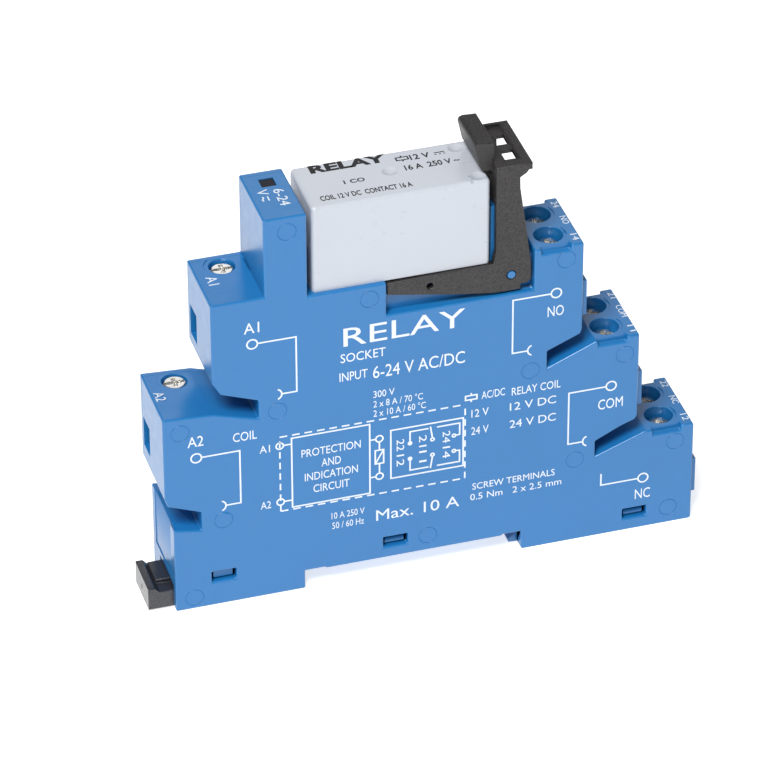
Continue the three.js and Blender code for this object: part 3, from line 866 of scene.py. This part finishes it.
# The circuit's outline: its dashed border, the protection block and the contacts' frame,
# each as left, right, bottom and top.
BORDER = (-24.45, 6.3, 16.2, 30.6)
PROTECTION = (-22.5, -9.6, 16.6, 30)
CONTACTS = (-6.1, 6, 18.75, 28.1)
INPUT_RING = 0.6
INPUT_GAP = 0.7  # a line starts this far from a ring's middle
RELAY_COIL = (-8.7, -7.3, 22.1, 24.7)
COIL_RINGS = (26.9, 19.6)  # levels of the rings over and under the coil
# The words in the protection block: text, level and width.
PROTECTION_WORDS = (
    ("PROTECTION", 26.6, 9.8),
    ("AND", 24.25, 3.2),
    ("INDICATION", 21.9, 8.8),
    ("CIRCUIT", 19.45, 6),
)


def frame_points(left, right, bottom, top):
    return [(left, bottom), (right, bottom), (right, top), (left, top)]


def circuit_mark(marks):
    """The circuit's outline: its protection block, the coil and the two changeovers."""
    left, right, bottom, top = BORDER
    for level in (bottom, top):
        marks.dashes((left, level), (right, level), SIDE)
    for x in (left, right):
        marks.dashes((x, bottom), (x, top), SIDE)
    block_left, block_right = PROTECTION[:2]
    marks.path(frame_points(*PROTECTION), SIDE, closed=True)
    for text, z, width in PROTECTION_WORDS:
        marks.words(text, on_side(-16, z), 1.5, width)
    for name, z in (("A1", 28.9), ("A2", 18)):
        marks.ring((left, z), INPUT_RING, SIDE)
        marks.path([(left + INPUT_GAP, z), (block_left, z)], SIDE)
        marks.words(name, on_side(-26.9, z - 0.1), 1.4, 1.7)
    coil_left, coil_right, coil_bottom, coil_top = RELAY_COIL
    coil_x = (coil_left + coil_right) / 2
    upper, lower = COIL_RINGS
    for z in COIL_RINGS:
        marks.ring((coil_x, z), INPUT_RING, SIDE)
        marks.path([(block_right, z), (coil_x - INPUT_GAP, z)], SIDE)
    marks.path([(coil_x, lower + INPUT_GAP), (coil_x, coil_bottom)], SIDE)
    marks.path([(coil_x, coil_top), (coil_x, upper - INPUT_GAP)], SIDE)
    marks.path(frame_points(*RELAY_COIL), SIDE, closed=True)
    marks.path([(-8.6, 22.3), (-7.4, 24.5)], SIDE, width=THIN)
    marks.path(frame_points(*CONTACTS), SIDE, closed=True)
    changeover(marks, 1, ("22", "21", "24"))
    changeover(marks, -1, ("12", "11", "14"))


def changeover(marks, up, names):
    """One changeover contact of the circuit, above or below its middle."""
    middle = 23.45
    far, near = middle + up * 3.75, middle + up * 1.5
    blade_x, tip_x = -2.9, 0.85
    marks.ring((blade_x, near), 0.2, SIDE, width=0.4)
    marks.path([(blade_x, near), (blade_x, far), (0.2, far)], SIDE)
    marks.path([(0.5, far + up * 0.3), (tip_x, near + up * 0.3)], SIDE)
    marks.ring((tip_x, near), 0.28, SIDE, width=THIN)
    marks.path([(1.6, far), (5.4, far), (5.4, near + up * 0.05), (4.6, near)], SIDE)
    marks.ring((4.45, near), 0.28, SIDE, width=THIN)
    for x, name in zip((-4.5, -0.75, 3.2), names):
        marks.words(name, on_side(x, near), 1.25, 2.2, spin=-QUARTER)


def coil_symbol(marks, centre, place, turn=ON_SIDE, width=STROKE):
    """A lying box with a lead at its top and its foot."""
    x, y = centre
    half, tall = 0.95, 0.4
    outline = frame_points(x - half, x + half, y - tall, y + tall)
    marks.path(outline, place, turn, width, closed=True)
    for side in (1, -1):
        marks.path([(x, y + side * tall), (x, y + side * tall * 2.1)], place, turn, width)


# Each terminal's mark: name, ring, corner of its line, fork, level and width of the name.
TERMINAL_MARKS = (
    ("A1", (-28.6, 49.15), -21.5, (-24.9, 38.85), 52.2, 2.5),
    ("A2", (-38.1, 29.4), -31, (-34.4, 19.3), 32.6, 2.6),
    ("NO", (21.3, 48.95), 14.1, (17.6, 38.85), 45.6, 2.7),
    ("COM", (30.9, 29.2), 23.75, (27.2, 19.2), 25.85, 4.2),
)
NC_RING = (36.8, 9.85)
# Words on the printed side: text, X and Z of their middle, height of capitals and width.
SIDE_WORDS = (
    ("NC", 36.8, 6.75, TERMINAL_HEIGHT, 2.6),
    ("COIL", -30.1, 32, 1.7, 3.9),
    ("RELAY", -3.8, 47.4, 3.4, 20),
    ("SOCKET", -10.6, 43.5, 1.65, 7.4),
    ("INPUT", -12.2, 39.95, 1.65, 4.6),
    ("6-24 V AC/DC", -1.4, 39.85, 2.3, 15.2),
    ("300 V", -7.2, 35.6, 1.3, 3.5),
    ("2 x 8 A / 70 °C", -4.85, 33.75, 1.3, 8.2),
    ("2 x 10 A / 60 °C", -4.6, 31.95, 1.3, 8.7),
    ("AC/DC", 11, 31.8, 1.45, 3.9),
    ("RELAY COIL", 18.2, 31.45, 1.5, 8.2),
    ("12 V", 8.8, 28.55, 1.5, 2.9),
    ("12 V DC", 17.7, 28.55, 1.5, 7.8),
    ("24 V", 8.8, 25.15, 1.5, 2.9),
    ("24 V DC", 17.7, 25.15, 1.5, 7.8),
    ("10 A 250 V", -13.3, 13.4, 1.25, 5.5),
    ("50 / 60 Hz", -13.3, 11.45, 1.25, 5.3),
    ("Max. 10 A", -1.6, 11.9, 2.1, 14),
    ("SCREW TERMINALS", 14.6, 14.2, 1.25, 14),
    ("0.5 Nm   2 x 2.5 mm", 15, 12.15, 1.25, 15.5),
)


def print_side():
    """All that is printed on the housing's side."""
    marks = Print("side_print", WHITE_INK, "socket")
    for mark in TERMINAL_MARKS:
        terminal_mark(marks, *mark)
    ring_x, ring_z = NC_RING
    marks.ring(NC_RING, CONTACT_RING, SIDE)
    marks.path([(ring_x - CONTACT_RING, ring_z), (29.55, ring_z), (29.55, 12.1)], SIDE)
    circuit_mark(marks)
    for text, x, z, height, width in SIDE_WORDS:
        marks.words(text, on_side(x, z), height, width)
    coil_symbol(marks, (7.3, 31.75), SIDE)
    marks.finish()


# Words on the tops, read across: text, place, height of capitals and width.
TOWER_TOP = SHELL_HIGH.z
TOP_WORDS = (
    ("A1", (-32.9, 0, A1_TOP), 1.7, 2.4),
    ("A2", (-42, -0.3, A2_TOP), 1.6, 2.4),
    ("6-24", (-21.8, -1.2, TOWER_TOP), 1.7, 4.8),
    ("V", (-24.3, 0.9, TOWER_TOP), 1.7, 1.5),
)
# Names at the right end of each contact block: X, level, and the names from back to front.
BLOCK_NAMES = (
    (24.95, NO_TOP, "24", "NO", "14"),
    (34.95, COM_TOP, "21", "COM", "11"),
    (44.5, NC_TOP, "22", "NC", "12"),
)
LETTER = 1.15  # width of one letter of a block's middle name


def print_tops():
    """Terminal names beside the screws, read from the back towards the printed side."""
    marks = Print("terminal_print", WHITE_INK, "socket")
    for text, place, height, width in TOP_WORDS:
        marks.words(text, place, height, width, turn=ON_TOP_ACROSS)
    wave = [(0.4 + 0.15 * i, -24.75 + 0.16 * math.sin(i * math.pi / 4)) for i in range(9)]
    for line in ([(0.4, -23.9), (1.6, -23.9)], wave):
        marks.path(line, (0, 0, TOWER_TOP), ON_TOP_ACROSS, 0.22)
    for x, top, back, middle, front in BLOCK_NAMES:
        names = ((back, 5, 1.8), (middle, 0.25, LETTER * len(middle)), (front, -4.9, 1.8))
        for name, y, width in names:
            marks.words(name, (x, y, top), 1.1, width, turn=ON_TOP_ACROSS)
    marks.finish()


# Words on the relay's top: text, X and Y of their middle, height, width and boldness.
RELAY_WORDS = (
    ("RELAY", -9.5, 4.6, 2.3, 12.5, 0.045),
    ("16 A  250 V ~", 3.1, 0.8, 1.5, 8.9, 0.022),
    ("12 V", 1.9, 3.5, 1.5, 3.2, 0.022),
    ("COIL 12 V DC  CONTACT 16 A", -9, -3.9, 1.4, 14.8, 0.022),
    ("1 CO", -9.9, -0.4, 1.1, 3.4, 0.022),
)


def print_relay():
    """The rating on the relay's top, in dark ink."""
    marks = Print("relay_print", DARK_INK, "relay")
    top = CASE_HIGH.z
    for text, x, y, height, width, bold in RELAY_WORDS:
        marks.words(text, (x, y, top), height, width, turn=ON_TOP, bold=bold)
    face = (0, 0, top)
    coil_symbol(marks, (-0.95, 3.6), face, ON_TOP, 0.24)
    marks.path([(4.3, 3.7), (6, 3.7)], face, ON_TOP, 0.2)
    for start in (4.3, 5, 5.7):
        marks.path([(start, 3.2), (start + 0.3, 3.2)], face, ON_TOP, 0.2)
    marks.finish()


print_side()
print_tops()
print_relay()


# ---- Small parts --------------------------------------------------------------------
# How far each family of stamped, wound or moulded parts has its edges rounded. A family is
# the start of its nodes' names, and the first that fits counts.
FINE_EDGES = {
    "clamp_cage": 0.2,
    "contact_strip": 0.1,
    "circuit_board": 0.05,
    "status_led": 0.15,
    "led_window": 0.08,
    "suppression_diode": 0.2,
    "series_resistor": 0.3,
    "smoothing_capacitor": 0.45,
    "relay_base": 0.12,
    "magnet_yoke": 0.2,
    "coil_core": 0.12,
    "coil_bobbin": 0.1,
    "coil_winding": 0.3,
    "coil_pin": 0.12,
    "common_terminal": 0.08,
    "nc_terminal": 0.08,
    "no_terminal": 0.08,
    "actuator_card": 0.15,
    "moving_contact": 0.05,
    "armature_spring": 0.05,
    "armature": 0.15,
}
# These keep the edges of their screw hole or dome, whose facets are shorter than SHORT.
KEEP_ROUND_FORMS = ("clamp_cage", "status_led")
SHORT = 0.9


def make_small_part(node):
    """A plain solid with its edges rounded as its family's are."""
    width = next(width for family, width in FINE_EDGES.items() if node.startswith(family))
    shortest = SHORT if node.startswith(KEEP_ROUND_FORMS) else 0
    part = merged_copy(node)
    round_edges(part, width, lambda a, b: (a - b).length > shortest, segments=2)
    smooth(part)
    complete(part, node, node + "_worked")


for node, plain in frame["nodes"].items():
    if not plain.hide_render:
        make_small_part(node)


# ---- Floor and light ----------------------------------------------------------------
FLOOR_SIZE = 6  # metres
FLOOR_DROP = 0.03  # just under the object
FLOOR_GREY = 0.7
FLOOR_GLOW = 0.68  # a light table, so the floor stays white under the object
# Places and sizes of the lights in metres, and their watts.
KEY_LIGHT = ((-0.393, -0.522, 1), 0.42, 15)
GLINT_LIGHT = ((0.29, 0.95, 0.68), 0.3, 0.35)
LIT_PLACE = Vector((0, 0, 0.035))
ROOM_LIGHT = 0.27


def add_floor():
    """A plain pale floor."""
    bpy.ops.mesh.primitive_plane_add(size=FLOOR_SIZE, location=(0, 0, -FLOOR_DROP * MM))
    floor = bpy.context.object
    floor.name = "floor"
    material = bpy.data.materials.new("pale_floor")
    material.use_nodes = True
    shader = material.node_tree.nodes["Principled BSDF"]
    shader.inputs["Base Color"].default_value = (FLOOR_GREY, FLOOR_GREY, FLOOR_GREY, 1)
    shader.inputs["Roughness"].default_value = 0.9
    shader.inputs["Specular IOR Level"].default_value = 0.1
    shader.inputs["Emission Color"].default_value = (1, 1, 1, 1)
    shader.inputs["Emission Strength"].default_value = FLOOR_GLOW
    floor.data.materials.append(material)


def add_softbox(name, place, size, watts):
    """A square area light that faces the object."""
    data = bpy.data.lights.new(name, "AREA")
    data.shape = "SQUARE"
    data.size = size
    data.energy = watts
    light = bpy.data.objects.new(name, data)
    bpy.context.scene.collection.objects.link(light)
    light.location = place
    towards = LIT_PLACE - Vector(place)
    light.rotation_euler = towards.to_track_quat("-Z", "Y").to_euler()


def add_light():
    """One large soft light in front, a faint one behind, and an even room."""
    add_softbox("key", *KEY_LIGHT)
    add_softbox("glint", *GLINT_LIGHT)
    world = bpy.data.worlds.new("studio")
    world.use_nodes = True
    background = world.node_tree.nodes["Background"]
    background.inputs["Color"].default_value = (1, 1, 1, 1)
    background.inputs["Strength"].default_value = ROOM_LIGHT
    bpy.context.scene.world = world
    bpy.context.scene.view_settings.view_transform = "Standard"


add_floor()
add_light()
